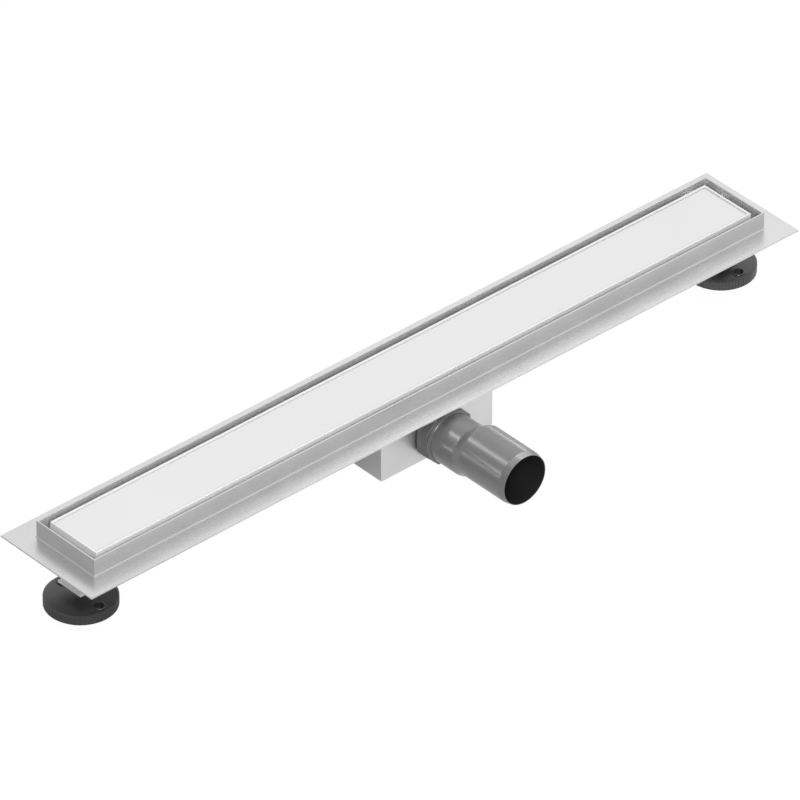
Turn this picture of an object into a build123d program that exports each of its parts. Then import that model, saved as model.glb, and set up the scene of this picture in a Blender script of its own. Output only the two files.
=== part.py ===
from build123d import *
import math
import os

os.makedirs("parts", exist_ok=True)

# Linear shower drain. Sizes are millimetres. X runs along the channel, the outlet leaves
# towards -Y, and z = 0 is the screed under the trap box and the levelling feet.

# Channel, folded from sheet, its floor falling from both ends to the trap in the middle
sheet = 1.5
bend = 1.0
channel_length = 757.5
channel_width = 74.0
channel_fall = 3.7
rim_height = 16.5
rim_edge = 0.3

# Flange, a flat frame of thinner sheet welded round the channel
flange_sheet = 1.2
flange_lift = 4.0
flange_side = 21.6
flange_end = 21.25
flange_edge = 0.3
weld = 1.0

# Trap box
box_sheet = 1.0
box_length = 126.5
box_bend = 1.2
box_base_chamfer = 0.5

# Cover: a tray that carries a panel, standing on folded legs with rubber pads
side_slot = 6.15
end_slot = 7.0
cover_drop = 0.7
tray_sheet = 2.0
tray_bend = 1.2
panel_thickness = 6.0
panel_recess = 1.2
panel_gap = 0.6
cover_edge = 0.3
leg_end_margin = 70.25
leg_inner_place = 110.0
leg_sheet = 1.5
leg_bend = 0.8
leg_strip = 20.0
leg_web = 46.0
leg_clearance = 0.6
pad_thickness = 1.5
pad_length = 16.0
pad_width = 7.5

# Lift-out trap: funnel with a dip tube, cup, strainer and seal, on the axis x = y = 0
opening_radius = 28.5
opening_lip = 1.2
collar_depth = 5.0
seal_gap = 0.4
seal_play = 0.04
trap_seal_section = 2.1
trap_seal_drop = 2.4
groove_play = 0.5
funnel_flange = 5.0
funnel_flange_sheet = 1.8
funnel_wall = 1.8
throat_wall = 4.5
throat_reach = 1.0
mouth_chamfer = 1.0
strainer_seat = 2.3
strainer_depth = 3.6
tube_radius = 20.8
tube_clear = 9.0
cone_drop = 5.0
cup_radius = 28.0
cup_wall = 1.6
cup_clear = 2.0
cup_depth = 31.0
cup_chamfer = 2.5
clip_count = 3
clip_width = 10.0
clip_window_width = 4.6
clip_window_height = 3.6
clip_window_drop = 2.2
clip_play = 0.2
lug_thickness = 1.7
lug_tail = 1.0
strainer_sheet = 1.2
strainer_play = 0.3
strainer_step = 1.0
basket_depth = 5.0
basket_radius = 17.0
slot_count = 12
slot_width = 2.6
slot_length = 10.0
slot_margin = 2.0
knob_radius = 4.0
knob_height = 9.0
knob_chamfer = 0.8

# Outlet, along -Y from the front of the trap box
bush_radius = 20.2
bush_bore = 16.5
bush_hole_play = 0.4
bush_lip = 2.2
bush_flange_sheet = 3.0
bush_tip = 0.8
gasket_thickness = 1.5
bush_grip = 16.5
nut_across = 50.6
nut_thickness = 12.2
nut_corner = 2.5
nut_chamfer = 0.8
nut_play = 0.15
nut_floor_gap = 0.1
nut_channel_gap = 0.1
washer_thickness = 2.0
collar_thickness = 2.0
collar_chamfer = 0.4
body_radius = 23.1
body_length = 26.8
body_bore = 20.6
socket_end_play = 1.0
step_length = 12.5
step_sections = 6
spigot_rise = 6.2
spigot_radius = 24.85
spigot_length = 48.5
spigot_bore = 22.9
tip_length = 6.0
tip_radius = 23.5
outlet_seal_section = 2.0
outlet_seal_back = 8.0

# Levelling feet: disc, screw and nuts under a folded bracket at each end
foot_inset = 15.75
foot_radius = 32.0
foot_thickness = 10.0
foot_chamfer = 1.0
knurl_count = 72
knurl_depth = 0.7
knurl_root = 0.2
screw_place = 23.0
screw_radius = 4.0
boss_wall = 1.75
boss_height = 1.0
stud_radius = 4.0
stud_reach = 50.0
stud_chamfer = 0.8
head_across = 13.0
head_height = 5.3
head_recess = 1.0
head_play = 0.1
thread_play = 0.06
bracket_sheet = 2.0
bracket_height = 20.4
bracket_width = 29.0
bracket_tip = 12.6
bracket_web = 16.0
bracket_top_leaf = 22.0
bracket_bend = 1.2
weld_gap = 0.02
bracket_hole_play = 0.4
bracket_nut_height = 6.5
locknut_height = 4.0

# Heights and half sizes that follow from the values above
half_length = channel_length / 2
half_width = channel_width / 2
half_box = box_length / 2
foot_place = half_length - foot_inset
trap_height = nut_floor_gap + nut_across + nut_channel_gap
flange_bottom = trap_height + flange_lift
flange_top = flange_bottom + flange_sheet
rim_top = flange_top + rim_height
floor_height = trap_height + sheet
outlet_height = nut_across / 2 + nut_floor_gap
spigot_height = outlet_height + spigot_rise


def underside(x):
    """Height of the channel's underside at the distance x from the middle."""
    run = half_length - half_box
    return trap_height + channel_fall * max(0.0, abs(x) - half_box) / run


def save(part, name):
    """Labels a finished piece and writes its file."""
    part.part.label = name
    export_step(part.part, f"parts/{name}.step")


def side_profile(inset):
    """Side view of the channel, moved inwards by the inset; it runs on above the rim when inset."""
    top = rim_top + inset
    end = half_length - inset
    low = trap_height + inset
    high = underside(end) + inset
    return [(-end, top), (-end, high), (-half_box, low), (half_box, low), (end, high), (end, top)]


# Channel
with BuildPart() as channel_trough:
    with BuildSketch(Plane.XZ):
        with BuildLine():
            Polyline(*side_profile(0), close=True)
        make_face()
    extrude(amount=half_width, both=True)
    lower = channel_trough.edges().filter_by(lambda e: e.center().Z < flange_bottom)
    fillet(lower.filter_by(Axis.Y, reverse=True), bend + sheet)
    with BuildSketch(Plane.XZ):
        with BuildLine():
            Polyline(*side_profile(sheet), close=True)
        make_face()
    extrude(amount=half_width - sheet, both=True, mode=Mode.SUBTRACT)
    inner = channel_trough.edges().filter_by(
        lambda e: floor_height - 0.1 < e.center().Z < flange_top
        and abs(abs(e.center().Y) - (half_width - sheet)) < 0.01)
    fillet(inner, bend)
    with BuildSketch(Plane.XY.offset(trap_height - collar_depth)):
        Circle(opening_radius + sheet)
    extrude(amount=collar_depth)
    with BuildSketch(Plane.XY.offset(trap_height - collar_depth)):
        Circle(opening_radius)
    extrude(amount=collar_depth + sheet, mode=Mode.SUBTRACT)
    mouth = channel_trough.edges().filter_by(GeomType.CIRCLE).sort_by(Axis.Z)
    chamfer(mouth.filter_by(lambda e: abs(e.center().Z - floor_height) < 0.01), opening_lip)
    chamfer(channel_trough.faces().sort_by(Axis.Z)[-1].edges(), rim_edge)
save(channel_trough, "channel_trough")

# Flange with the weld bead along the foot of the rim
with BuildPart() as flange_plate:
    with BuildSketch(Plane.XY.offset(flange_bottom)):
        Rectangle(channel_length + 2 * flange_end, channel_width + 2 * flange_side)
    extrude(amount=flange_sheet)
    chamfer(flange_plate.faces().sort_by(Axis.Z)[-1].edges(), flange_edge)
    with BuildSketch(Plane.XY.offset(flange_top)):
        Rectangle(channel_length + 2 * weld, channel_width + 2 * weld)
    extrude(amount=weld, taper=45)
    with BuildSketch(Plane.XY.offset(flange_bottom)):
        Rectangle(channel_length, channel_width)
    extrude(amount=flange_sheet + weld, mode=Mode.SUBTRACT)
save(flange_plate, "flange_plate")

# Trap box: its long walls lap the channel's walls, its end walls stop under the channel
with BuildPart() as trap_box:
    with BuildSketch():
        Rectangle(box_length, channel_width + 2 * box_sheet)
    extrude(amount=flange_bottom)
    fillet(trap_box.edges().filter_by(Axis.Z), box_bend)
    chamfer(trap_box.faces().sort_by(Axis.Z)[0].edges(), box_base_chamfer)
    with BuildSketch(Plane.XY.offset(box_sheet)):
        RectangleRounded(box_length - 2 * box_sheet, channel_width, box_bend - box_sheet)
    extrude(amount=flange_bottom, mode=Mode.SUBTRACT)
    with BuildSketch(Plane.XY.offset(trap_height)):
        Rectangle(box_length, channel_width)
    extrude(amount=flange_lift, mode=Mode.SUBTRACT)
    with BuildSketch(Plane((0, -half_width, outlet_height), z_dir=(0, -1, 0))):
        Circle(bush_radius + bush_hole_play)
    extrude(amount=box_sheet, mode=Mode.SUBTRACT)
save(trap_box, "trap_box")

# Cover tray
tray_length = channel_length - 2 * (sheet + end_slot)
tray_width = channel_width - 2 * (sheet + side_slot)
tray_top = rim_top - cover_drop
tray_bottom = tray_top - panel_recess - panel_thickness - tray_sheet
with BuildPart() as cover_tray:
    with BuildSketch(Plane.XY.offset(tray_bottom)):
        Rectangle(tray_length, tray_width)
    extrude(amount=tray_top - tray_bottom)
    fillet(cover_tray.faces().sort_by(Axis.Z)[0].edges(), tray_bend)
    with BuildSketch(Plane.XY.offset(tray_bottom + tray_sheet)):
        Rectangle(tray_length - 2 * tray_sheet, tray_width - 2 * tray_sheet)
    extrude(amount=panel_thickness + panel_recess, mode=Mode.SUBTRACT)
    chamfer(cover_tray.faces().sort_by(Axis.Z)[-1].edges(), cover_edge)
save(cover_tray, "cover_tray")

# Panel in the tray
panel_length = tray_length - 2 * (tray_sheet + panel_gap)
panel_width = tray_width - 2 * (tray_sheet + panel_gap)
with BuildPart() as cover_insert:
    with BuildSketch(Plane.XY.offset(tray_bottom + tray_sheet)):
        Rectangle(panel_length, panel_width)
    extrude(amount=panel_thickness)
    chamfer(cover_insert.faces().sort_by(Axis.Z)[-1].edges(), cover_edge)
save(cover_insert, "cover_insert")

# Legs under the tray, each a folded hat strip on two pads that stand on the sloping floor
leg_half = half_width - sheet - leg_clearance
pad_place = (leg_web / 2 + leg_sheet + leg_half) / 2
leg_outer_place = tray_length / 2 - leg_end_margin
leg_places = (-leg_outer_place, -leg_inner_place, leg_inner_place, leg_outer_place)
pad_number = 0
for number, place in enumerate(leg_places, start=1):
    pad_bottom = underside(abs(place) + pad_length / 2) + sheet
    leaf = pad_bottom + pad_thickness
    web = tray_bottom - leg_sheet
    leg_radii = [leg_bend + leg_sheet, leg_bend, leg_bend, leg_bend + leg_sheet]
    hat = [(-leg_half, leaf), (-leg_web / 2, leaf), (-leg_web / 2, web),
           (leg_web / 2, web), (leg_web / 2, leaf), (leg_half, leaf)]
    with BuildPart() as cover_leg:
        with BuildSketch(Plane.YZ.offset(place)):
            with BuildLine():
                FilletPolyline(*hat, radius=leg_radii)
                offset(amount=leg_sheet, side=Side.LEFT)
            make_face()
        extrude(amount=leg_strip / 2, both=True)
    save(cover_leg, f"cover_leg_{number}")
    for side in (-1, 1):
        pad_number += 1
        with BuildPart() as leg_pad:
            with BuildSketch(Plane((place, side * pad_place, pad_bottom))):
                Rectangle(pad_length, pad_width)
            extrude(amount=pad_thickness)
        save(leg_pad, f"leg_pad_{pad_number}")

# Trap funnel: flange on the channel's floor, throat in the collar, dip tube into the cup
throat_radius = opening_radius - seal_gap
throat_bottom = trap_height - collar_depth - throat_reach
groove_radius = opening_radius - trap_seal_section
groove_top = trap_height - trap_seal_drop + trap_seal_section / 2 + groove_play / 2
groove_bottom = groove_top - trap_seal_section - groove_play
throat_bore = throat_radius - throat_wall
seat_radius = throat_bore + strainer_seat
seat_height = floor_height + funnel_flange_sheet - strainer_depth
shoulder_radius = cup_radius - cup_wall - clip_play
funnel_top = floor_height + funnel_flange_sheet
cone_bottom = throat_bottom - cone_drop
tube_bore = tube_radius - funnel_wall
funnel_profile = [
    (opening_radius + funnel_flange, funnel_top),
    (opening_radius + funnel_flange, floor_height),
    (throat_radius, floor_height),
    (throat_radius, groove_top),
    (groove_radius, groove_top),
    (groove_radius, groove_bottom),
    (throat_radius, groove_bottom),
    (throat_radius, throat_bottom),
    (shoulder_radius, throat_bottom),
    (tube_radius, cone_bottom),
    (tube_radius, tube_clear),
    (tube_bore, tube_clear),
    (tube_bore, cone_bottom + funnel_wall),
    (throat_bore, throat_bottom + funnel_wall),
    (throat_bore, seat_height),
    (seat_radius, seat_height),
    (seat_radius, funnel_top - mouth_chamfer),
    (seat_radius + mouth_chamfer, funnel_top),
]
cup_bottom = box_sheet + cup_clear
cup_top = cup_bottom + cup_depth
clip_window_top = throat_bottom - clip_window_drop
nib_height = clip_window_height - 2 * clip_play
nib_top = clip_window_top - clip_play
lug_length = clip_window_drop + clip_window_height + lug_tail
nib_reach = cup_wall - clip_play
with BuildPart() as trap_funnel:
    with BuildSketch(Plane.XZ):
        with BuildLine():
            Polyline(*funnel_profile, close=True)
        make_face()
    revolve(axis=Axis.Z)
    with PolarLocations(shoulder_radius - lug_thickness / 2, clip_count):
        with Locations((0, 0, throat_bottom)):
            Box(lug_thickness, clip_window_width, lug_length,
                align=(Align.CENTER, Align.CENTER, Align.MAX))
    with PolarLocations(shoulder_radius, clip_count):
        with Locations((0, 0, nib_top)):
            Box(nib_reach, clip_window_width - 2 * clip_play, nib_height,
                align=(Align.MIN, Align.CENTER, Align.MAX))
save(trap_funnel, "trap_funnel")

# Cup, with clips that rise to the funnel's shoulder
with BuildPart() as trap_cup:
    with BuildSketch(Plane.XY.offset(cup_bottom)):
        Circle(cup_radius)
    extrude(amount=cup_depth)
    chamfer(trap_cup.faces().sort_by(Axis.Z)[0].edges(), cup_chamfer)
    with BuildSketch(Plane.XY.offset(cup_bottom + cup_wall)):
        Circle(cup_radius - cup_wall)
    extrude(amount=cup_depth, mode=Mode.SUBTRACT)
    with PolarLocations(cup_radius - cup_wall / 2, clip_count):
        with Locations((0, 0, throat_bottom)):
            Box(cup_wall, clip_width, throat_bottom - cup_top + cup_wall,
                align=(Align.CENTER, Align.CENTER, Align.MAX))
        with Locations((0, 0, clip_window_top)):
            Box(2 * cup_wall, clip_window_width, clip_window_height,
                align=(Align.CENTER, Align.CENTER, Align.MAX), mode=Mode.SUBTRACT)
save(trap_cup, "trap_cup")

# Ring between the funnel's throat and the channel's collar
with BuildPart() as trap_seal:
    ring_middle = (groove_radius + opening_radius) / 2
    with BuildSketch(Plane.XZ):
        with Locations((ring_middle, (groove_top + groove_bottom) / 2)):
            Rectangle(trap_seal_section - seal_play, trap_seal_section)
    revolve(axis=Axis.Z)
save(trap_seal, "trap_seal")

# Hair strainer: a slotted basket with a knob to lift it by
strainer_radius = seat_radius - strainer_play
basket_top = seat_height + strainer_sheet
basket_bottom = seat_height - basket_depth
brim = throat_bore - strainer_step
with BuildPart() as trap_strainer:
    with BuildSketch(Plane.XZ):
        with BuildLine():
            Polyline((0, basket_bottom), (basket_radius, basket_bottom), (brim, seat_height),
                     (strainer_radius, seat_height), (strainer_radius, basket_top),
                     (brim - strainer_sheet / 2, basket_top),
                     (basket_radius - strainer_sheet / 2, basket_bottom + strainer_sheet),
                     (knob_radius, basket_bottom + strainer_sheet),
                     (knob_radius, basket_bottom + knob_height),
                     (0, basket_bottom + knob_height), close=True)
        make_face()
    revolve(axis=Axis.Z)
    chamfer(trap_strainer.edges().group_by(Axis.Z)[-1], knob_chamfer)
    with BuildSketch(Plane.XY.offset(basket_bottom)):
        with PolarLocations(basket_radius - slot_margin - slot_length / 2, slot_count):
            Rectangle(slot_length, slot_width)
    extrude(amount=basket_depth, mode=Mode.SUBTRACT)
save(trap_strainer, "trap_strainer")


def outlet_plane(distance, height=outlet_height):
    """Plane across the outlet at a distance in front of the channel's middle."""
    return Plane((0, -distance, height), x_dir=(1, 0, 0), z_dir=(0, -1, 0))


# Stations along the outlet, measured forward from the channel's middle
box_face = half_width + box_sheet
washer_front = box_face + washer_thickness
nut_front = washer_front + nut_thickness
collar_front = nut_front + collar_thickness
step_back = collar_front + body_length
step_front = step_back + step_length
tip_back = step_front + spigot_length
bush_front = nut_front + bush_grip
bush_back = half_width - gasket_thickness
outlet_groove = bush_front - outlet_seal_back
socket_radius = bush_radius + nut_play

# Bush, its flange inside the box
with BuildPart() as outlet_bush:
    with BuildSketch(outlet_plane(bush_back - bush_flange_sheet)):
        Circle(bush_radius + bush_hole_play + bush_lip)
    extrude(amount=bush_flange_sheet)
    with BuildSketch(outlet_plane(bush_back)):
        Circle(bush_radius)
    extrude(amount=bush_front - bush_back)
    chamfer(outlet_bush.faces().sort_by(Axis.Y)[0].edges(), bush_tip)
    with BuildSketch(outlet_plane(bush_back - bush_flange_sheet)):
        Circle(bush_bore)
    extrude(amount=bush_front - bush_back + bush_flange_sheet, mode=Mode.SUBTRACT)
    with BuildSketch(outlet_plane(outlet_groove)):
        Circle(socket_radius)
        Circle(socket_radius - outlet_seal_section, mode=Mode.SUBTRACT)
    extrude(amount=outlet_seal_section + groove_play, mode=Mode.SUBTRACT)
save(outlet_bush, "outlet_bush")

# Gasket under the bush's flange
with BuildPart() as bush_gasket:
    with BuildSketch(outlet_plane(bush_back)):
        Circle(bush_radius + bush_hole_play + bush_lip)
        Circle(bush_radius + nut_play, mode=Mode.SUBTRACT)
    extrude(amount=gasket_thickness)
save(bush_gasket, "bush_gasket")

# Washer and locknut outside the box
with BuildPart() as outlet_washer:
    with BuildSketch(outlet_plane(box_face)):
        Circle(nut_across / 2)
        Circle(bush_radius + nut_play, mode=Mode.SUBTRACT)
    extrude(amount=washer_thickness)
save(outlet_washer, "outlet_washer")

with BuildPart() as outlet_locknut:
    with BuildSketch(outlet_plane(washer_front)):
        RegularPolygon(nut_across / 2, 8, major_radius=False, rotation=22.5)
    extrude(amount=nut_thickness)
    fillet(outlet_locknut.edges().filter_by(Axis.Y), nut_corner)
    chamfer(outlet_locknut.faces().sort_by(Axis.Y)[0].edges(), nut_chamfer)
    with BuildSketch(outlet_plane(washer_front)):
        Circle(bush_radius + nut_play)
    extrude(amount=nut_thickness, mode=Mode.SUBTRACT)
save(outlet_locknut, "outlet_locknut")

# Ring in the bush's groove
with BuildPart() as outlet_seal:
    with BuildSketch(Plane.XY.offset(outlet_height)):
        with Locations((socket_radius - outlet_seal_section / 2,
                        -outlet_groove - (outlet_seal_section + groove_play) / 2)):
            Rectangle(outlet_seal_section - seal_play, outlet_seal_section)
    revolve(axis=Axis((0, 0, outlet_height), (0, 1, 0)))
save(outlet_seal, "outlet_seal")

# Pipe: collar and body on the bush's axis, then a sloping step up to the spigot
with BuildPart() as outlet_pipe:
    with BuildSketch(outlet_plane(nut_front)):
        Circle(nut_across / 2)
    extrude(amount=collar_thickness)
    chamfer(outlet_pipe.edges().filter_by(GeomType.CIRCLE), collar_chamfer)
    with BuildSketch(outlet_plane(nut_front)):
        Circle(body_radius)
    extrude(amount=step_back - nut_front)
    for section in range(step_sections + 1):
        share = section / step_sections
        rise = share * share * (3 - 2 * share)
        height = outlet_height + rise * spigot_rise
        with BuildSketch(outlet_plane(step_back + share * step_length, height)):
            Circle(body_radius + rise * (spigot_radius - body_radius))
    loft(ruled=True)
    with BuildSketch(outlet_plane(step_front, spigot_height)):
        Circle(spigot_radius)
    extrude(amount=spigot_length)
    with BuildSketch(outlet_plane(tip_back, spigot_height)):
        Circle(spigot_radius)
    with BuildSketch(outlet_plane(tip_back + tip_length, spigot_height)):
        Circle(tip_radius)
    loft(ruled=True)
    with BuildSketch(outlet_plane(nut_front)):
        Circle(socket_radius)
    extrude(amount=bush_front + socket_end_play - nut_front, mode=Mode.SUBTRACT)
    with BuildSketch(outlet_plane(nut_front)):
        Circle(body_bore)
    extrude(amount=step_back - nut_front, mode=Mode.SUBTRACT)
    with BuildSketch(outlet_plane(step_back)):
        Circle(body_bore)
    with BuildSketch(outlet_plane(step_front, spigot_height)):
        Circle(spigot_bore)
    loft(ruled=True, mode=Mode.SUBTRACT)
    with BuildSketch(outlet_plane(step_front, spigot_height)):
        Circle(spigot_bore)
    extrude(amount=spigot_length + tip_length, mode=Mode.SUBTRACT)
save(outlet_pipe, "outlet_pipe")


def knurl(radius, depth, count):
    """Points of a toothed round outline."""
    points = []
    for step in range(2 * count):
        angle = math.pi * step / count
        reach = radius - depth * (step % 2)
        points.append((reach * math.cos(angle), reach * math.sin(angle)))
    return points


# Levelling feet, one at each end
head_top = head_recess + head_height
for name, direction in (("left", -1), ("right", 1)):
    place = direction * foot_place
    base = Plane((place, 0, 0))

    with BuildPart() as foot_disc:
        with BuildSketch(base):
            Circle(foot_radius - knurl_depth - knurl_root)
        extrude(amount=foot_thickness)
        chamfer(foot_disc.edges(), foot_chamfer)
        with BuildSketch(base.offset(foot_chamfer)):
            with BuildLine():
                Polyline(*knurl(foot_radius, knurl_depth, knurl_count), close=True)
            make_face()
        extrude(amount=foot_thickness - 2 * foot_chamfer)
        with BuildSketch(base.offset(foot_thickness)):
            with Locations((0, screw_place), (0, -screw_place)):
                Circle(screw_radius + boss_wall)
        extrude(amount=boss_height)
        with BuildSketch(base):
            with Locations((0, screw_place), (0, -screw_place)):
                Circle(screw_radius)
        extrude(amount=foot_thickness + boss_height, mode=Mode.SUBTRACT)
        with BuildSketch(base):
            Circle(stud_radius + head_play)
        extrude(amount=foot_thickness, mode=Mode.SUBTRACT)
        with BuildSketch(base):
            RegularPolygon(head_across / 2 + head_play, 6, major_radius=False)
        extrude(amount=head_top, mode=Mode.SUBTRACT)
    save(foot_disc, f"foot_disc_{name}")

    with BuildPart() as foot_stud:
        with BuildSketch(base.offset(head_recess)):
            RegularPolygon(head_across / 2, 6, major_radius=False)
        extrude(amount=head_height)
        with BuildSketch(base.offset(head_top)):
            Circle(stud_radius)
        extrude(amount=stud_reach - head_top)
        chamfer(foot_stud.faces().sort_by(Axis.Z)[-1].edges(), stud_chamfer)
    save(foot_stud, f"foot_stud_{name}")

    for piece, bottom, height in (("bracket_nut", bracket_height + bracket_sheet, bracket_nut_height),
                                  ("foot_locknut", bracket_height - locknut_height, locknut_height)):
        with BuildPart() as nut:
            with BuildSketch(base.offset(bottom)):
                RegularPolygon(head_across / 2, 6, major_radius=False)
            extrude(amount=height)
            with BuildSketch(base.offset(bottom)):
                Circle(stud_radius + thread_play)
            extrude(amount=height, mode=Mode.SUBTRACT)
        save(nut, f"{piece}_{name}")

    web_place = foot_place - bracket_web
    leaf_end = web_place - bracket_top_leaf
    leaf_drop = bracket_sheet + weld_gap
    fold = [(foot_place + bracket_tip, bracket_height),
            (web_place, bracket_height),
            (web_place, underside(web_place) - leaf_drop),
            (leaf_end, underside(leaf_end) - leaf_drop)]
    with BuildPart() as foot_bracket:
        with BuildSketch(Plane.XZ):
            with BuildLine():
                FilletPolyline(*fold, radius=[bracket_bend + bracket_sheet, bracket_bend])
                offset(amount=bracket_sheet, side=Side.RIGHT)
            make_face()
            if direction < 0:
                mirror(about=Plane.YZ, mode=Mode.REPLACE)
        extrude(amount=bracket_width / 2, both=True)
        with BuildSketch(base.offset(bracket_height)):
            Circle(stud_radius + bracket_hole_play)
        extrude(amount=bracket_sheet, mode=Mode.SUBTRACT)
    save(foot_bracket, f"foot_bracket_{name}")
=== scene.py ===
import math

import bpy
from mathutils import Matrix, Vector


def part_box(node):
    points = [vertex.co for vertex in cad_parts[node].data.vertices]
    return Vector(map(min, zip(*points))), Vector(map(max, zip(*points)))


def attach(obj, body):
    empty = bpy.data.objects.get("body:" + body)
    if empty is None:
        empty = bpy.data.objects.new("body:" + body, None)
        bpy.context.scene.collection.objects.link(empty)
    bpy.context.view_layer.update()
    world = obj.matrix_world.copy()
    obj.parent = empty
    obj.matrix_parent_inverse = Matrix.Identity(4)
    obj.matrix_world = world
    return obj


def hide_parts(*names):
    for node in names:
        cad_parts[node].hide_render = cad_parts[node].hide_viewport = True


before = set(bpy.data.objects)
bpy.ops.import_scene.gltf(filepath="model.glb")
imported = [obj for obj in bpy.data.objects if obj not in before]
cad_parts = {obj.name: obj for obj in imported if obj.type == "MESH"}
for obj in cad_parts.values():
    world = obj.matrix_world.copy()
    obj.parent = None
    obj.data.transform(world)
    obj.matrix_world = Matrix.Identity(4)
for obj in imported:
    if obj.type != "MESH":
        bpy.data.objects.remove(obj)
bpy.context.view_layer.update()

MM = 0.001

# Camera: fitted to the drain's own edges in the photograph
CAMERA_AZIMUTH = -41.605
CAMERA_ELEVATION = 35.722
CAMERA_DISTANCE = 9106 * MM
CAMERA_LENS = 485.4
CAMERA_AIM = Vector((-24.3, -17.8, 56.0)) * MM
CAMERA_REACH = 100


def place_camera():
    azimuth = math.radians(CAMERA_AZIMUTH)
    elevation = math.radians(CAMERA_ELEVATION)
    back = Vector((math.sin(azimuth) * math.cos(elevation),
                   -math.cos(azimuth) * math.cos(elevation),
                   math.sin(elevation)))
    data = bpy.data.cameras.new("camera")
    data.lens = CAMERA_LENS
    data.clip_end = CAMERA_REACH
    camera = bpy.data.objects.new("camera", data)
    camera.location = CAMERA_AIM + back * CAMERA_DISTANCE
    camera.rotation_mode = "QUATERNION"
    camera.rotation_quaternion = (-back).to_track_quat("-Z", "Y")
    bpy.context.scene.collection.objects.link(camera)
    bpy.context.scene.camera = camera


# Materials: a noise lies mostly between these two values, and what it drives runs from low to high there
NOISE_LOW = 0.3
NOISE_HIGH = 0.7
CLOUD_SCALE = 28
CLOUD_DETAIL = 4
GRAIN_DETAIL = 5
GRAIN_DEPTH = 0.02 * MM
STREAK_SCALE = 45
STREAK_DETAIL = 5
SKIN_DETAIL = 2
SKIN_RELIEF = 0.3


def grey(value):
    return (value, value, value)


def new_material(name):
    """A node material with its shader and its object coordinates."""
    material = bpy.data.materials.new(name)
    material.use_nodes = True
    nodes = material.node_tree.nodes
    shader = nodes["Principled BSDF"]
    place = nodes.new("ShaderNodeTexCoord")
    return material, nodes, material.node_tree.links, shader, place


def stretched(nodes, links, place, scale):
    """Object coordinates scaled by three factors."""
    mapping = nodes.new("ShaderNodeMapping")
    mapping.inputs["Scale"].default_value = scale
    links.new(place.outputs["Object"], mapping.inputs["Vector"])
    return mapping.outputs["Vector"]


def noise(nodes, links, vector, scale, detail):
    texture = nodes.new("ShaderNodeTexNoise")
    texture.inputs["Scale"].default_value = scale
    texture.inputs["Detail"].default_value = detail
    links.new(vector, texture.inputs["Vector"])
    return texture.outputs["Fac"]


def ramp(nodes, links, factor, low, high):
    """Runs a texture between two colours."""
    colours = nodes.new("ShaderNodeValToRGB")
    colours.color_ramp.elements[0].position = NOISE_LOW
    colours.color_ramp.elements[1].position = NOISE_HIGH
    colours.color_ramp.elements[0].color = (*low, 1)
    colours.color_ramp.elements[1].color = (*high, 1)
    links.new(factor, colours.inputs["Fac"])
    return colours.outputs["Color"]


def span(nodes, links, factor, low, high):
    """Runs a texture between two numbers."""
    between = nodes.new("ShaderNodeMapRange")
    between.inputs["From Min"].default_value = NOISE_LOW
    between.inputs["From Max"].default_value = NOISE_HIGH
    between.inputs["To Min"].default_value = low
    between.inputs["To Max"].default_value = high
    links.new(factor, between.inputs["Value"])
    return between.outputs["Result"]


def bump(nodes, links, shader, height, distance, strength):
    relief = nodes.new("ShaderNodeBump")
    relief.inputs["Distance"].default_value = distance
    relief.inputs["Strength"].default_value = strength
    links.new(height, relief.inputs["Height"])
    links.new(relief.outputs["Normal"], shader.inputs["Normal"])


def steel(name, low, high, rough_low, rough_high, grain, relief, metallic=1.0):
    """Rolled stainless sheet: long fine grain lines and a faint cloudiness from pickling."""
    material, nodes, links, shader, place = new_material(name)
    shader.inputs["Metallic"].default_value = metallic
    clouds = noise(nodes, links, place.outputs["Object"], CLOUD_SCALE, CLOUD_DETAIL)
    lines = noise(nodes, links, stretched(nodes, links, place, grain), 1, GRAIN_DETAIL)
    links.new(ramp(nodes, links, clouds, low, high), shader.inputs["Base Color"])
    links.new(span(nodes, links, lines, rough_low, rough_high), shader.inputs["Roughness"])
    bump(nodes, links, shader, lines, GRAIN_DEPTH, relief)
    return material


def within(nodes, links, place, reach):
    """One inside the upright walls at the reach in X and Y, and nothing outside them."""
    parts = nodes.new("ShaderNodeSeparateXYZ")
    links.new(place.outputs["Object"], parts.inputs["Vector"])
    inside = []
    for axis, limit in zip("XY", reach):
        size = nodes.new("ShaderNodeMath")
        size.operation = "ABSOLUTE"
        links.new(parts.outputs[axis], size.inputs[0])
        less = nodes.new("ShaderNodeMath")
        less.operation = "LESS_THAN"
        less.inputs[1].default_value = limit
        links.new(size.outputs[0], less.inputs[0])
        inside.append(less.outputs[0])
    both = nodes.new("ShaderNodeMath")
    both.operation = "MULTIPLY"
    links.new(inside[0], both.inputs[0])
    links.new(inside[1], both.inputs[1])
    return both.outputs[0]


def painted_light_inside(material, reach, metallic):
    """Makes the channel's inside duller and less metallic, as painted light that lifts the shade in its
    narrow slots, and leaves its outside rolled.
    """
    nodes, links = material.node_tree.nodes, material.node_tree.links
    shader, place = nodes["Principled BSDF"], nodes["Texture Coordinate"]
    finish = nodes.new("ShaderNodeMapRange")
    finish.inputs["To Min"].default_value = 1
    finish.inputs["To Max"].default_value = metallic
    links.new(within(nodes, links, place, reach), finish.inputs["Value"])
    links.new(finish.outputs["Result"], shader.inputs["Metallic"])


def plastic(name, low, high, rough_low, rough_high, grain_scale, grain_depth, shine=0.5):
    """Moulded plastic with a fine even skin and slight streaks of colour."""
    material, nodes, links, shader, place = new_material(name)
    shader.inputs["Specular IOR Level"].default_value = shine
    streaks = noise(nodes, links, place.outputs["Object"], STREAK_SCALE, STREAK_DETAIL)
    skin = noise(nodes, links, place.outputs["Object"], grain_scale, SKIN_DETAIL)
    links.new(ramp(nodes, links, streaks, low, high), shader.inputs["Base Color"])
    links.new(span(nodes, links, skin, rough_low, rough_high), shader.inputs["Roughness"])
    bump(nodes, links, shader, skin, grain_depth, SKIN_RELIEF)
    return material


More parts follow.
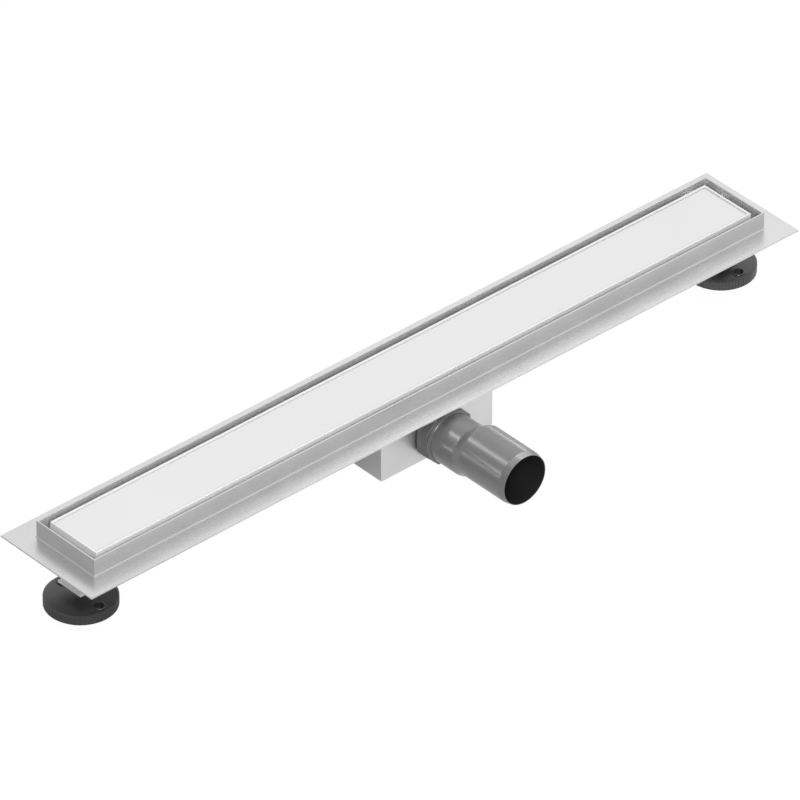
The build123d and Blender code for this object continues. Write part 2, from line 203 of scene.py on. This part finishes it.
PANEL_CLOUD_SCALE = 9
PANEL_CLOUD_DETAIL = 2
PANEL_LOW = 0.73
PANEL_HIGH = 0.745
PANEL_ROUGHNESS = 0.35
PANEL_COAT = 0.6
PANEL_COAT_ROUGHNESS = 0.08


def panel_glass():
    """White back-painted glass: an even pale ground under a polished face."""
    material, nodes, links, shader, place = new_material("white_panel_glass")
    ground = noise(nodes, links, place.outputs["Object"], PANEL_CLOUD_SCALE, PANEL_CLOUD_DETAIL)
    links.new(ramp(nodes, links, ground, grey(PANEL_LOW), grey(PANEL_HIGH)), shader.inputs["Base Color"])
    shader.inputs["Roughness"].default_value = PANEL_ROUGHNESS
    shader.inputs["Coat Weight"].default_value = PANEL_COAT
    shader.inputs["Coat Roughness"].default_value = PANEL_COAT_ROUGHNESS
    return material


# Grain lines are stretched along X by small first factors
LENGTHWISE = (35, 2600, 2600)
SHORT_GRAIN = (140, 2600, 2600)
EVEN = (900, 900, 900)
MATERIALS = {
    "channel_steel": steel("channel_steel", grey(0.71), grey(0.75), 0.26, 0.32, LENGTHWISE, 0.1),
    "flange_steel": steel("flange_steel", grey(0.75), grey(0.79), 0.25, 0.31, SHORT_GRAIN, 0.06),
    "box_steel": steel("box_steel", grey(0.72), grey(0.76), 0.42, 0.47, LENGTHWISE, 0.05),
    "bracket_steel": steel("bracket_steel", grey(0.82), grey(0.88), 0.35, 0.42, LENGTHWISE, 0.1, 0.4),
    "cover_white": plastic("cover_white", grey(0.79), grey(0.81), 0.3, 0.4, 1500, 0.01 * MM),
    "zinc": steel("zinc", grey(0.6), grey(0.72), 0.3, 0.42, EVEN, 0.2),
    "outlet_plastic": plastic("outlet_plastic", grey(0.125), grey(0.14), 0.22, 0.28,
                              2200, 0.02 * MM, 0.8),
    # The bore: the outlet's plastic painted near black as painted shade inside the pipe
    "bore_painted_shade": plastic("bore_painted_shade", grey(0.014), grey(0.018), 0.5, 0.6, 2200, 0.02 * MM),
    "nut_plastic": plastic("nut_plastic", grey(0.095), grey(0.108), 0.34, 0.44, 2200, 0.03 * MM),
    "foot_plastic": plastic("foot_plastic", grey(0.019), grey(0.024), 0.28, 0.36,
                            3200, 0.04 * MM, 1.0),
    "trap_plastic": plastic("trap_plastic", grey(0.6), grey(0.64), 0.3, 0.4, 2000, 0.02 * MM),
    "rubber": plastic("rubber", grey(0.018), grey(0.024), 0.55, 0.7, 2600, 0.04 * MM),
    "panel_glass": panel_glass(),
}

# Every CAD node's finish, also under the pieces that stand in for some of them
CAD_FINISHES = {
    "channel_steel": ["channel_trough", "cover_leg_1", "cover_leg_2", "cover_leg_3", "cover_leg_4"],
    "bracket_steel": ["foot_bracket_left", "foot_bracket_right"],
    "flange_steel": ["flange_plate"],
    "box_steel": ["trap_box"],
    "cover_white": ["cover_tray"],
    "panel_glass": ["cover_insert"],
    "outlet_plastic": ["outlet_pipe", "outlet_bush"],
    "nut_plastic": ["outlet_locknut"],
    "foot_plastic": ["foot_disc_left", "foot_disc_right"],
    "trap_plastic": ["trap_funnel", "trap_cup", "trap_strainer"],
    "rubber": ["outlet_washer", "trap_seal", "bush_gasket", "outlet_seal"]
              + [f"leg_pad_{number}" for number in range(1, 9)],
    "zinc": ["foot_stud_left", "foot_stud_right", "bracket_nut_left", "bracket_nut_right",
             "foot_locknut_left", "foot_locknut_right"],
}
CHANNEL_SHEET = 1.5 * MM
# The inside's lower metallic share is painted light that lifts the shade in the channel's slots
INSIDE_METALLIC = 0.6


def paint_cad_nodes():
    low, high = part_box("channel_trough")
    reach = (high.x - CHANNEL_SHEET / 2, high.y - CHANNEL_SHEET / 2)
    painted_light_inside(MATERIALS["channel_steel"], reach, INSIDE_METALLIC)
    for finish, names in CAD_FINISHES.items():
        for name in names:
            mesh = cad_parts[name].data
            mesh.materials.clear()
            mesh.materials.append(MATERIALS[finish])


# Pieces modelled here
ALONG_OUTLET = (math.radians(90), 0, 0)
UPRIGHT = (0, 0, 0)
SMOOTH_ANGLE = math.radians(32)
MERGE_DISTANCE = 0.001 * MM
# Bars that cut bores reach well past the pieces on both sides
CUT_LENGTH = 50 * MM
NUT_CUT_LENGTH = 30 * MM
# A rounded edge's middle ring lies this share of the rounding's size in from both faces
EDGE_MIDDLE = 0.3
MOULD_EDGE = 0.5 * MM


def turned(name, rings, turn, sides, solid=False):
    """A turned form from rings, each (centre, radius) in metres.

    A solid one is capped at both ends, and a hollow one runs back from its last ring to its first.
    """
    bpy.ops.object.select_all(action="DESELECT")
    centre, radius = rings[0]
    bpy.ops.mesh.primitive_circle_add(vertices=sides, radius=radius, location=centre, rotation=turn,
                                      fill_type="NGON" if solid else "NOTHING")
    piece = bpy.context.object
    piece.name = name
    bpy.ops.object.transform_apply(location=True, rotation=True, scale=True)
    bpy.ops.object.mode_set(mode="EDIT")
    bpy.ops.mesh.select_mode(type="FACE" if solid else "EDGE")
    bpy.ops.mesh.select_all(action="SELECT")
    onward = rings[1:] if solid else rings[1:] + rings[:1]
    for (start, before), (end, after) in zip(rings, onward):
        step = Vector(end) - Vector(start)
        bpy.ops.mesh.extrude_region_move(TRANSFORM_OT_translate={"value": step})
        bpy.ops.transform.resize(value=(after / before,) * 3, center_override=Vector(end))
    bpy.ops.mesh.select_all(action="SELECT")
    bpy.ops.mesh.remove_doubles(threshold=MERGE_DISTANCE)
    bpy.ops.mesh.normals_make_consistent(inside=False)
    bpy.ops.object.mode_set(mode="OBJECT")
    return piece


def hexagon(centre, across, height):
    """A hexagonal prism standing on end, two of its corners along X, by its size across flats."""
    bpy.ops.object.select_all(action="DESELECT")
    bpy.ops.mesh.primitive_cylinder_add(vertices=6, radius=across / math.sqrt(3), depth=height,
                                        location=centre, rotation=(0, 0, math.radians(30)))
    bpy.ops.object.transform_apply(location=True, rotation=True, scale=True)
    return bpy.context.object


def round_bar(centre, radius, length, turn, sides):
    bpy.ops.object.select_all(action="DESELECT")
    bpy.ops.mesh.primitive_cylinder_add(vertices=sides, radius=radius, depth=length,
                                        location=centre, rotation=turn)
    bpy.ops.object.transform_apply(location=True, rotation=True, scale=True)
    return bpy.context.object


def cut_or_add(piece, tool, operation):
    """Cuts the tool out, joins it on or keeps what both share, and removes the tool."""
    modifier = piece.modifiers.new(operation.lower(), "BOOLEAN")
    modifier.operation = operation
    modifier.object = tool
    modifier.solver = "EXACT"
    bpy.context.view_layer.objects.active = piece
    bpy.ops.object.modifier_apply(modifier=modifier.name)
    bpy.data.objects.remove(tool)


def select_faces(piece, wanted):
    """Selects the faces whose middle and normal pass the test, in object mode."""
    mesh = piece.data
    for collection in (mesh.vertices, mesh.edges):
        collection.foreach_set("select", [False] * len(collection))
    for face in mesh.polygons:
        face.select = wanted(face.center, face.normal)


def install(piece, finish, body, slot, *nodes):
    """Gives a finished piece its material and its CAD body, and hides the nodes that it stands for."""
    if not piece.data.materials:
        piece.data.materials.append(MATERIALS[finish])
    bpy.ops.object.select_all(action="DESELECT")
    piece.select_set(True)
    bpy.context.view_layer.objects.active = piece
    bpy.ops.object.shade_smooth_by_angle(angle=SMOOTH_ANGLE)
    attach(piece, body)
    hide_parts(*nodes)


# Outlet pipe: distances run forward from the channel's middle
BODY_RADIUS = 23.1 * MM
BODY_BORE = 20.6 * MM
COLLAR_THICKNESS = 2.0 * MM
STEP_BACK = 81.0 * MM
STEP_FRONT = 93.5 * MM
STEP_SOFTNESS = 0.4
STEP_RINGS = 20
SPIGOT_RADIUS = 24.85 * MM
SPIGOT_BORE = 22.9 * MM
SPIGOT_RISE = 6.2 * MM
TIP_LENGTH = 6.0 * MM
TIP_RADIUS = 23.5 * MM
SOCKET_RADIUS = 20.35 * MM
SOCKET_FRONT = 69.7 * MM
PIPE_SIDES = 128
BORE_MARGIN = 0.1 * MM
# Rings this close beside an edge keep the long faces shading as plain cylinders
HOLD = 0.3 * MM


def eased(share):
    """The step runs almost straight, a little softened at both ends."""
    soft = share * share * (3 - 2 * share)
    return share + STEP_SOFTNESS * (soft - share)


def model_outlet_pipe():
    """Collar, round body, eccentric step and chamfered spigot, with painted shade: the bore's faces are
    painted near black.
    """
    low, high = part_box("outlet_pipe")
    collar_back = -high.y
    mouth = -low.y
    collar_radius = (high.x - low.x) / 2
    axis = low.z + collar_radius
    collar_front = collar_back + COLLAR_THICKNESS
    edge = MOULD_EDGE
    middle = EDGE_MIDDLE * edge

    def at(distance, rise=0.0):
        return (0, -distance, axis + rise)

    def step_ring(number, back_radius, front_radius):
        share = number / STEP_RINGS
        return (at(STEP_BACK + share * (STEP_FRONT - STEP_BACK), eased(share) * SPIGOT_RISE),
                back_radius + eased(share) * (front_radius - back_radius))

    rings = [(at(collar_back), SOCKET_RADIUS),
             (at(collar_back), collar_radius - edge),
             (at(collar_back + middle), collar_radius - middle),
             (at(collar_back + edge), collar_radius),
             (at(collar_front - edge), collar_radius),
             (at(collar_front - middle), collar_radius - middle),
             (at(collar_front), collar_radius - edge),
             (at(collar_front), BODY_RADIUS + edge),
             (at(collar_front + edge), BODY_RADIUS),
             (at(collar_front + edge + HOLD), BODY_RADIUS),
             (at(STEP_BACK - HOLD), BODY_RADIUS)]
    rings += [step_ring(number, BODY_RADIUS, SPIGOT_RADIUS) for number in range(STEP_RINGS + 1)]
    taper = (SPIGOT_RADIUS - TIP_RADIUS) / TIP_LENGTH
    rings += [(at(STEP_FRONT + HOLD, SPIGOT_RISE), SPIGOT_RADIUS),
              (at(mouth - TIP_LENGTH - HOLD, SPIGOT_RISE), SPIGOT_RADIUS),
              (at(mouth - TIP_LENGTH, SPIGOT_RISE), SPIGOT_RADIUS),
              (at(mouth - TIP_LENGTH + HOLD, SPIGOT_RISE), SPIGOT_RADIUS - taper * HOLD),
              (at(mouth - HOLD, SPIGOT_RISE), TIP_RADIUS + taper * HOLD),
              (at(mouth, SPIGOT_RISE), TIP_RADIUS),
              (at(mouth, SPIGOT_RISE), SPIGOT_BORE)]
    rings += [step_ring(number, BODY_BORE, SPIGOT_BORE) for number in range(STEP_RINGS, -1, -1)]
    rings += [(at(SOCKET_FRONT), BODY_BORE), (at(SOCKET_FRONT), SOCKET_RADIUS)]
    pipe = turned("outlet_pipe_moulded", rings, ALONG_OUTLET, PIPE_SIDES)
    pipe.data.materials.append(MATERIALS["outlet_plastic"])
    pipe.data.materials.append(MATERIALS["bore_painted_shade"])
    # Faces inside the bore take the painted shade
    for face in pipe.data.polygons:
        rise = SPIGOT_RISE if -face.center.y > (STEP_BACK + STEP_FRONT) / 2 else 0
        out = Vector((face.center.x, 0, face.center.z - axis - rise))
        if out.length < SPIGOT_BORE + BORE_MARGIN and out.dot(face.normal) < 0:
            face.material_index = 1
    install(pipe, "outlet_plastic", "channel", "outlet_plastic", "outlet_pipe")


# Washer and locknut behind the pipe's collar
WASHER_SIDES = 96
LOCKNUT_FLATS = 8
LOCKNUT_ROUND = 1.1 * MM
LOCKNUT_ROUND_SEGMENTS = 5
LOCKNUT_ROUND_LIMIT = math.radians(40)


def model_washer():
    low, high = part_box("outlet_washer")
    radius = (high.x - low.x) / 2
    axis = (low.z + high.z) / 2
    bore = SOCKET_RADIUS
    edge = MOULD_EDGE
    rings = [((0, high.y, axis), bore), ((0, high.y, axis), radius - edge),
             ((0, high.y - edge, axis), radius), ((0, low.y + edge, axis), radius),
             ((0, low.y, axis), radius - edge), ((0, low.y, axis), bore)]
    install(turned("outlet_washer_rubber", rings, ALONG_OUTLET, WASHER_SIDES),
            "rubber", "channel", "rubber", "outlet_washer")


def model_locknut():
    """Eight flats with all their outer edges rounded, and a plain bore."""
    low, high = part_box("outlet_locknut")
    across = high.x - low.x
    axis = (low.z + high.z) / 2
    middle = (0, (low.y + high.y) / 2, axis)
    half_flat = math.radians(180 / LOCKNUT_FLATS)
    bpy.ops.object.select_all(action="DESELECT")
    bpy.ops.mesh.primitive_cylinder_add(vertices=LOCKNUT_FLATS, radius=across / 2 / math.cos(half_flat),
                                        depth=high.y - low.y, location=middle, rotation=ALONG_OUTLET)
    nut = bpy.context.object
    nut.name = "outlet_locknut_moulded"
    bpy.ops.transform.rotate(value=half_flat, orient_axis="Y", center_override=nut.location)
    bpy.ops.object.transform_apply(location=True, rotation=True, scale=True)
    corners = nut.modifiers.new("corners", "BEVEL")
    corners.width = LOCKNUT_ROUND
    corners.segments = LOCKNUT_ROUND_SEGMENTS
    corners.limit_method = "ANGLE"
    corners.angle_limit = LOCKNUT_ROUND_LIMIT
    bpy.ops.object.modifier_apply(modifier="corners")
    bore = round_bar(middle, SOCKET_RADIUS, CUT_LENGTH, ALONG_OUTLET, WASHER_SIDES)
    cut_or_add(nut, bore, "DIFFERENCE")
    install(nut, "nut_plastic", "channel", "nut_plastic", "outlet_locknut")


# Levelling feet
FOOT_RIBS = 72
FACETS_PER_RIB = 3
RIB_DEPTH = 0.35 * MM
RIB_MARGIN = 0.08 * MM
# The rim's rounded edge, as (height, way in) in shares of its size, from a flat face out to the rim
RIM_EDGE = 0.9 * MM
RIM_PROFILE = ((0, 2), (0.3, 1.1), (1, 0.4), (1.2, 0))
SCREW_PLACE = 23.0 * MM
SCREW_RADIUS = 4.0 * MM
# Facets of the rim's upright wall: how far they may tilt, lie from mid height, and lie inside the radius
WALL_TILT = 0.1
WALL_BAND = 1 * MM
WALL_MARGIN = 0.2 * MM
# The raised ring round each screw hole: its walls' distances from the hole, and its root in the disc
BOSS_INNER_WALL = 0.5 * MM
BOSS_OUTER_WALL = 1.75 * MM
BOSS_ROOT = 2 * MM
BOSS_HEIGHT = 1.0 * MM
BOSS_ROUND = 0.7 * MM
BOSS_ROUND_STEPS = 4
BOSS_SIDES = 48
STUD_BORE = 4.1 * MM
HEAD_ACROSS = 13.0 * MM
HEAD_HEIGHT = 5.3 * MM
HEAD_PLAY = 0.1 * MM


def model_foot_disc(side):
    """A knurled disc with two raised screw holes and a pocket for the screw's head."""
    low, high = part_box(f"foot_disc_{side}")
    middle = (low.x + high.x) / 2
    radius = (high.x - low.x) / 2
    top = high.z - BOSS_HEIGHT
    sides = FOOT_RIBS * FACETS_PER_RIB

    def at(height):
        return (middle, 0, height)

    rings = [(at(0), STUD_BORE)]
    rings += [(at(height * RIM_EDGE), radius - way_in * RIM_EDGE) for height, way_in in RIM_PROFILE]
    rings += [(at(top - height * RIM_EDGE), radius - way_in * RIM_EDGE)
              for height, way_in in reversed(RIM_PROFILE)]
    rings.append((at(top), STUD_BORE))
    disc = turned(f"foot_disc_{side}_knurled", rings, UPRIGHT, sides)
    facet = math.radians(360 / sides)

    def in_groove(centre, normal):
        """One facet for each rib of the rim's upright wall."""
        number = math.floor(math.atan2(centre.y, centre.x - middle) / facet)
        upright = abs(normal.z) < WALL_TILT and abs(centre.z - top / 2) < WALL_BAND
        outer = Vector((centre.x - middle, centre.y)).length > radius - WALL_MARGIN
        return upright and outer and number % FACETS_PER_RIB == 0

    select_faces(disc, in_groove)
    bpy.ops.object.mode_set(mode="EDIT")
    bpy.ops.mesh.select_mode(type="FACE")
    bpy.ops.mesh.inset(thickness=RIB_MARGIN, depth=-RIB_DEPTH, use_individual=True)
    bpy.ops.object.mode_set(mode="OBJECT")
    boss_rings = [(top - BOSS_ROOT, BOSS_INNER_WALL), (top - BOSS_ROOT, BOSS_OUTER_WALL)]
    for number in range(BOSS_ROUND_STEPS + 1):
        turn = math.radians(90 / BOSS_ROUND_STEPS * number)
        boss_rings.append((top + BOSS_HEIGHT - BOSS_ROUND * (1 - math.sin(turn)),
                           BOSS_OUTER_WALL - BOSS_ROUND * (1 - math.cos(turn))))
    boss_rings.append((top + BOSS_HEIGHT, BOSS_INNER_WALL))
    for place in (-SCREW_PLACE, SCREW_PLACE):
        boss = turned("boss", [((middle, place, height), SCREW_RADIUS + wall)
                               for height, wall in boss_rings], UPRIGHT, BOSS_SIDES)
        cut_or_add(disc, boss, "UNION")
        hole = round_bar((middle, place, top / 2), SCREW_RADIUS, CUT_LENGTH, UPRIGHT, BOSS_SIDES)
        cut_or_add(disc, hole, "DIFFERENCE")
    head_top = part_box(f"foot_stud_{side}")[0].z + HEAD_HEIGHT
    pocket = hexagon((middle, 0, 0), HEAD_ACROSS + 2 * HEAD_PLAY, 2 * head_top)
    cut_or_add(disc, pocket, "DIFFERENCE")
    install(disc, "foot_plastic", f"{side}_foot", "foot_plastic", f"foot_disc_{side}")


# Screws and nuts
STUD_RADIUS = 4.0 * MM
STUD_EDGE = 0.8 * MM
THREAD_PITCH = 1.25 * MM
THREAD_DEPTH = 0.65 * MM
THREAD_LEAD = 0.1 * MM
RINGS_PER_TURN = 4
THREAD_SIDES = 32
SHANK_SINK = 1 * MM
CREST_MARGIN = 0.01 * MM
NUT_EDGE = 0.6 * MM
NUT_BORE = 4.06 * MM
# The turned form that takes a hexagon's corners off starts at its flats and widens by this, past its corners
FORM_REACH = 1.2
FORM_SIDES = 48


def model_stud(side):
    """A hexagon-head screw with a cut thread, its head let into the foot."""
    low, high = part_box(f"foot_stud_{side}")
    middle = (low.x + high.x) / 2
    head_top = low.z + HEAD_HEIGHT
    flat = HEAD_ACROSS / 2

    def at(height):
        return (middle, 0, height)

    head = hexagon(at(low.z + HEAD_HEIGHT / 2), HEAD_ACROSS, HEAD_HEIGHT)
    form = turned("head_form", [(at(low.z), flat), (at(low.z + STUD_EDGE), FORM_REACH * flat),
                                (at(head_top), FORM_REACH * flat)], UPRIGHT, FORM_SIDES, solid=True)
    cut_or_add(head, form, "INTERSECT")
    step = THREAD_PITCH / RINGS_PER_TURN
    count = int((high.z - STUD_EDGE - head_top - THREAD_PITCH) / step)
    first = high.z - STUD_EDGE - count * step
    rings = [(at(head_top - SHANK_SINK), STUD_RADIUS - THREAD_DEPTH),
             (at(first - THREAD_LEAD), STUD_RADIUS - THREAD_DEPTH)]
    rings += [(at(first + number * step), STUD_RADIUS) for number in range(count + 1)]
    rings.append((at(high.z), STUD_RADIUS - STUD_EDGE))
    shank = turned(f"foot_stud_{side}_threaded", rings, UPRIGHT, THREAD_SIDES, solid=True)
    for point in shank.data.vertices:
        out = Vector((point.co.x - middle, point.co.y))
        if out.length > STUD_RADIUS - CREST_MARGIN:
            turn = math.atan2(out.y, out.x) / math.tau
            along = (point.co.z / THREAD_PITCH - turn) % 1
            out *= 1 - THREAD_DEPTH / STUD_RADIUS * abs(2 * along - 1)
            point.co.x = middle + out.x
            point.co.y = out.y
    cut_or_add(shank, head, "UNION")
    install(shank, "zinc", f"{side}_foot", "fasteners", f"foot_stud_{side}")


def model_nut(node):
    """A hexagon nut with its corners turned off at both ends."""
    low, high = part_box(node)
    middle = Vector(((low.x + high.x) / 2, 0, (low.z + high.z) / 2))
    up = Vector((0, 0, (high.z - low.z) / 2))
    flat = HEAD_ACROSS / 2
    edge = Vector((0, 0, NUT_EDGE))
    nut = hexagon(middle, HEAD_ACROSS, 2 * up.z)
    nut.name = f"{node}_chamfered"
    form = turned("nut_form", [(middle - up, flat), (middle - up + edge, FORM_REACH * flat),
                               (middle + up - edge, FORM_REACH * flat), (middle + up, flat)],
                  UPRIGHT, FORM_SIDES, solid=True)
    cut_or_add(nut, form, "INTERSECT")
    bore = round_bar(middle, NUT_BORE, NUT_CUT_LENGTH, UPRIGHT, THREAD_SIDES)
    cut_or_add(nut, bore, "DIFFERENCE")
    install(nut, "zinc", "channel", "fasteners", node)


# Floor and light: the floor lies just clear of the feet at their lowest, so that no pose hides them
FLOOR_DROP = 22.2 * MM
FLOOR_SIZE = 60
FLOOR_GREY = 0.5
FLOOR_GLOW = 1.15
# The camera sees the glow at the first share, and shiny faces at the second. The second holds in front
# of the mirror's end, measured along its way, and is nothing behind its start.
CAMERA_SHARE = 0.82
MIRROR_SHARE = 0.6
MIRROR_WAY = (0.66, -0.75, 0)
MIRROR_START = -0.08
MIRROR_END = 0.02


def lay_floor():
    """A white floor that keeps the drain's soft shadow.

    Its glow shows in shiny faces only in front of the drain.
    """
    bpy.ops.mesh.primitive_plane_add(size=FLOOR_SIZE, location=(0, 0, -FLOOR_DROP))
    floor = bpy.context.object
    floor.name = "floor"
    material, nodes, links, shader, place = new_material("floor_white")
    nodes.remove(shader)
    lit = nodes.new("ShaderNodeBsdfDiffuse")
    lit.inputs["Color"].default_value = (*grey(FLOOR_GREY), 1)
    glow = nodes.new("ShaderNodeEmission")
    glow.inputs["Color"].default_value = (1, 1, 1, 1)
    glow.inputs["Strength"].default_value = FLOOR_GLOW
    rays = nodes.new("ShaderNodeLightPath")
    forward = nodes.new("ShaderNodeVectorMath")
    forward.operation = "DOT_PRODUCT"
    forward.inputs[1].default_value = MIRROR_WAY
    links.new(place.outputs["Object"], forward.inputs[0])
    mirrored = nodes.new("ShaderNodeMapRange")
    mirrored.interpolation_type = "SMOOTHSTEP"
    mirrored.inputs["From Min"].default_value = MIRROR_START
    mirrored.inputs["From Max"].default_value = MIRROR_END
    mirrored.inputs["To Min"].default_value = 0
    mirrored.inputs["To Max"].default_value = MIRROR_SHARE
    links.new(forward.outputs["Value"], mirrored.inputs["Value"])
    glossy = nodes.new("ShaderNodeMath")
    glossy.operation = "MULTIPLY"
    links.new(rays.outputs["Is Glossy Ray"], glossy.inputs[0])
    links.new(mirrored.outputs["Result"], glossy.inputs[1])
    seen = nodes.new("ShaderNodeMath")
    seen.operation = "MULTIPLY_ADD"
    seen.inputs[1].default_value = CAMERA_SHARE
    links.new(rays.outputs["Is Camera Ray"], seen.inputs[0])
    links.new(glossy.outputs[0], seen.inputs[2])
    mix = nodes.new("ShaderNodeMixShader")
    links.new(seen.outputs[0], mix.inputs["Fac"])
    links.new(lit.outputs[0], mix.inputs[1])
    links.new(glow.outputs[0], mix.inputs[2])
    links.new(mix.outputs[0], nodes["Material Output"].inputs["Surface"])
    floor.data.materials.append(material)


# The sky brightens towards the right, less towards the back and least upwards
SKY_LEVEL = 0.59
SKY_SLOPE = Vector((0.34, 0.12, 0.05))
# Each lamp: the way to it from the drain's middle, its distance, its two sizes and its strength
LAMPS = {
    "overhead": ((0.45, 0.2, 0.87), 1.7, 0.8, 0.8, 5),
    "front": ((-0.5, -0.68, 0.55), 3.2, 1.4, 1.4, 64),
    "upper_strip": ((-0.36, 0.607, 0.71), 2.6, 0.5, 0.5, 6),
    "lower_strip": ((-0.78, 0.607, 0.15), 2.6, 0.5, 0.75, 9),
    "right_strip": ((0.772, 0.607, 0.187), 2.6, 0.5, 0.5, 3),
    "step_strip": ((0.13, 0.85, 0.44), 2.6, 2.0, 0.4, 8),
    "tip_strip": ((0, 0.25, 0.84), 2.6, 2.8, 0.3, 18),
    "tip_side_strip": ((0.75, 0.34, 0.55), 2.6, 0.3, 1.5, 7),
}
# The strips draw the highlights along the outlet and are flagged off everything else
FLAGGED_LAMPS = ("upper_strip", "lower_strip", "right_strip",
                 "step_strip", "tip_strip", "tip_side_strip")
OUTLET_PIECES = ("outlet_pipe_moulded", "outlet_locknut_moulded", "outlet_washer_rubber")


def light_sky():
    """The camera sees plain white, and everything else sees the sloping sky."""
    world = bpy.data.worlds.new("studio")
    bpy.context.scene.world = world
    world.use_nodes = True
    nodes, links = world.node_tree.nodes, world.node_tree.links
    sky = nodes["Background"]
    sky.inputs["Color"].default_value = (1, 1, 1, 1)
    place = nodes.new("ShaderNodeTexCoord")
    slope = nodes.new("ShaderNodeVectorMath")
    slope.operation = "DOT_PRODUCT"
    slope.inputs[1].default_value = SKY_SLOPE
    links.new(place.outputs["Generated"], slope.inputs[0])
    strength = nodes.new("ShaderNodeMath")
    strength.operation = "ADD"
    strength.inputs[1].default_value = SKY_LEVEL
    links.new(slope.outputs["Value"], strength.inputs[0])
    links.new(strength.outputs[0], sky.inputs["Strength"])
    white = nodes.new("ShaderNodeBackground")
    white.inputs["Color"].default_value = (1, 1, 1, 1)
    white.inputs["Strength"].default_value = 1
    rays = nodes.new("ShaderNodeLightPath")
    mix = nodes.new("ShaderNodeMixShader")
    links.new(rays.outputs["Is Camera Ray"], mix.inputs["Fac"])
    links.new(sky.outputs[0], mix.inputs[1])
    links.new(white.outputs[0], mix.inputs[2])
    links.new(mix.outputs[0], nodes["World Output"].inputs["Surface"])


def hang_lamps():
    outlet = bpy.data.collections.new("outlet_pieces")
    for name in OUTLET_PIECES:
        outlet.objects.link(bpy.data.objects[name])
    for name, (towards, distance, width, height, power) in LAMPS.items():
        data = bpy.data.lights.new(name, "AREA")
        data.shape = "RECTANGLE"
        data.size = width
        data.size_y = height
        data.energy = power
        lamp = bpy.data.objects.new(name, data)
        lamp.location = Vector(towards).normalized() * distance
        lamp.rotation_mode = "QUATERNION"
        lamp.rotation_quaternion = Vector(towards).to_track_quat("Z", "Y")
        bpy.context.scene.collection.objects.link(lamp)
        if name in FLAGGED_LAMPS:
            lamp.light_linking.receiver_collection = outlet


bpy.context.scene.view_settings.view_transform = "Standard"
bpy.ops.object.select_all(action="DESELECT")
place_camera()
paint_cad_nodes()
model_outlet_pipe()
model_washer()
model_locknut()
for side in ("left", "right"):
    model_foot_disc(side)
    model_stud(side)
    model_nut(f"bracket_nut_{side}")
    model_nut(f"foot_locknut_{side}")
lay_floor()
light_sky()
hang_lamps()
